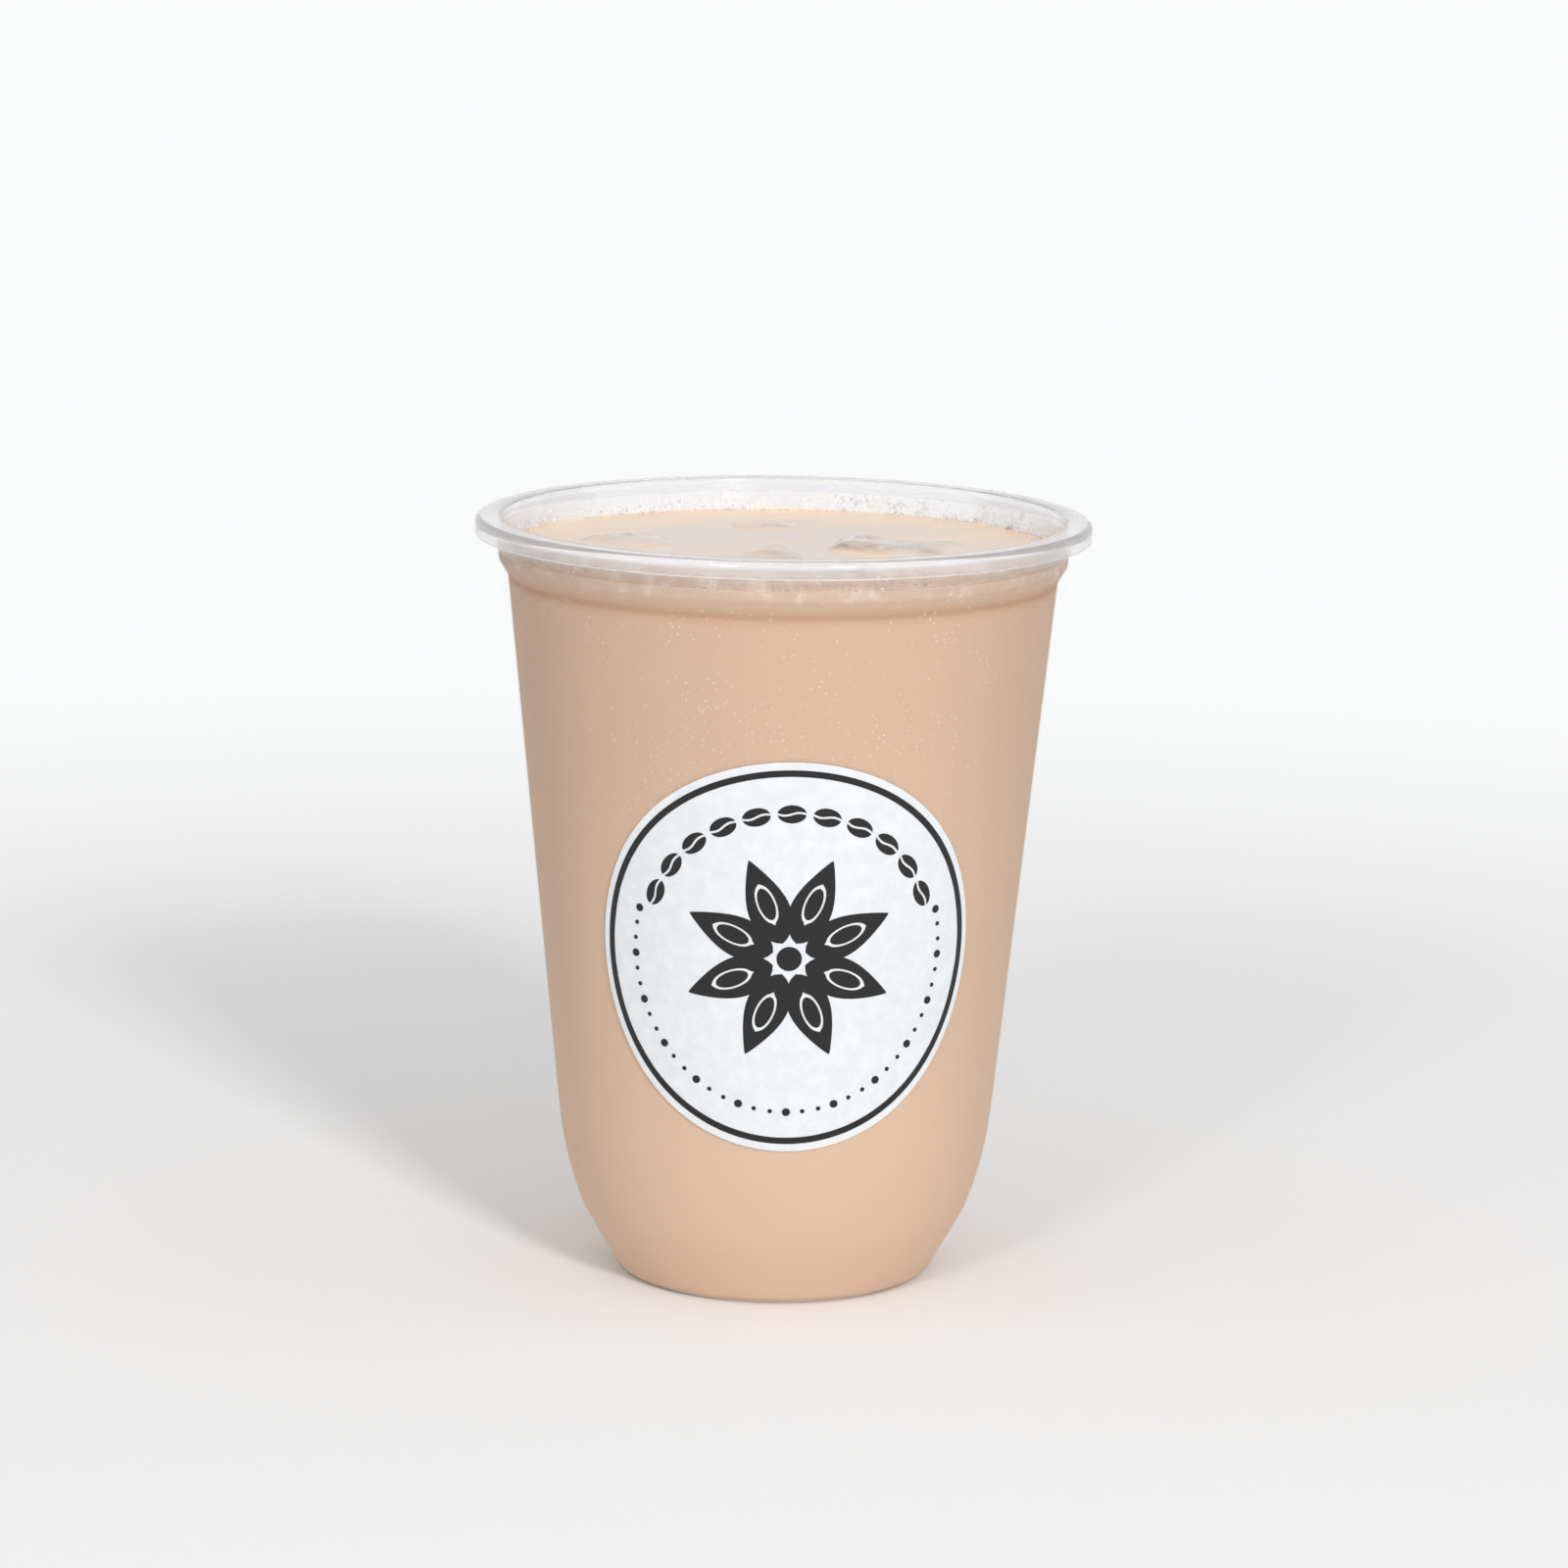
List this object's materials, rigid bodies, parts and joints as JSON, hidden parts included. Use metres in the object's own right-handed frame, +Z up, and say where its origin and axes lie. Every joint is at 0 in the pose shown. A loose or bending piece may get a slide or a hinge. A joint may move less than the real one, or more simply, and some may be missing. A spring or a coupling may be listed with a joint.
{
  "type": "dirty chai latte",
  "caption": "Iced milky coffee drink with a skin of foam, in a tapered clear plastic cup with a rounded bowl, a stacking shoulder, a turned-out lip and a round label.",
  "frame": {"origin": "centre of the foot ring, on the surface that the cup stands on", "axes": "+Z up along the cup's axis, -Y towards the front, where the label is, +X to the right of someone looking at the label"},
  "size_m": [0.095, 0.095, 0.1187],
  "materials": {
    "cup_plastic": "clear injection-moulded polypropylene, satin on the wall and glossy on the lip",
    "drink": "opaque milky liquid, pale tan",
    "label_film": "white coated label stock with a thin black printed ring",
    "label_ink": "black printed ink, satin",
    "ice": "melting ice, wet and clear with a milky film",
    "foam": "fine froth and small bubbles of milk"
  },
  "bodies": {
    "root": {"cup": "cup_plastic", "drink": "drink", "label": "label_film"}
  },
  "joints": []
}
